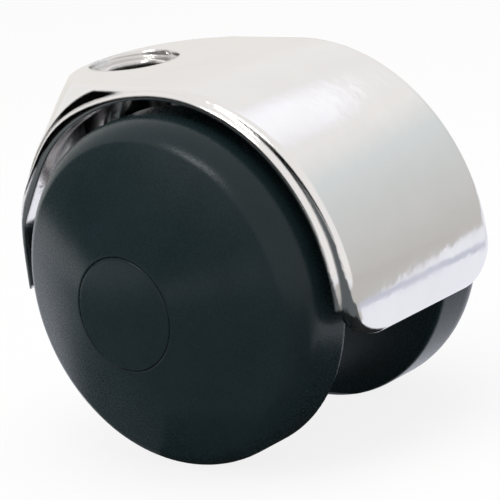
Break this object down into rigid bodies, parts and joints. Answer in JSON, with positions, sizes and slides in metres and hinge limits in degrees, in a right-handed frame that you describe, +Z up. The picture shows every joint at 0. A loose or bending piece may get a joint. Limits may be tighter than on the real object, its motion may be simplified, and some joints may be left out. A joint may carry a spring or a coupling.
{
  "type": "chair castor",
  "caption": "Hooded chair castor: a chrome-plated cast hood over domed black plastic wheels that spin on a common axle, with a round stem socket in its nose.",
  "frame": {"origin": "centre of the stem socket's mouth, at the floor of the shallow seat in the hood's nose", "axes": "+Z up along the stem socket's axis, +X back from the stem to the axle (trailing side), +Y along the axle to the right wheel"},
  "size_m": [0.0625, 0.0582, 0.0532],
  "materials": {
    "chrome_plated_zinc": "bright chrome plating on a zinc die casting",
    "black_nylon": "moulded, fine matt texture",
    "axle_steel": "drawn bright steel",
    "washer_steel": "zinc-plated steel",
    "spring_steel": "oiled spring steel"
  },
  "bodies": {
    "body": {"hood": "chrome_plated_zinc", "axle": "axle_steel", "thrust_washer_left": "washer_steel", "thrust_washer_right": "washer_steel", "retaining_washer_left": "spring_steel", "retaining_washer_right": "spring_steel"},
    "left_wheel": {"wheel_left": "black_nylon", "hub_cap_left": "black_nylon"},
    "right_wheel": {"wheel_right": "black_nylon", "hub_cap_right": "black_nylon"}
  },
  "joints": [
    {"name": "left_wheel_spin", "type": "hinge", "parent": "body", "child": "left_wheel", "pos_m": [0.0175, 0, -0.0272], "axis": [0, 1, 0], "continuous": true},
    {"name": "right_wheel_spin", "type": "hinge", "parent": "body", "child": "right_wheel", "pos_m": [0.0175, 0, -0.0272], "axis": [0, 1, 0], "continuous": true}
  ]
}
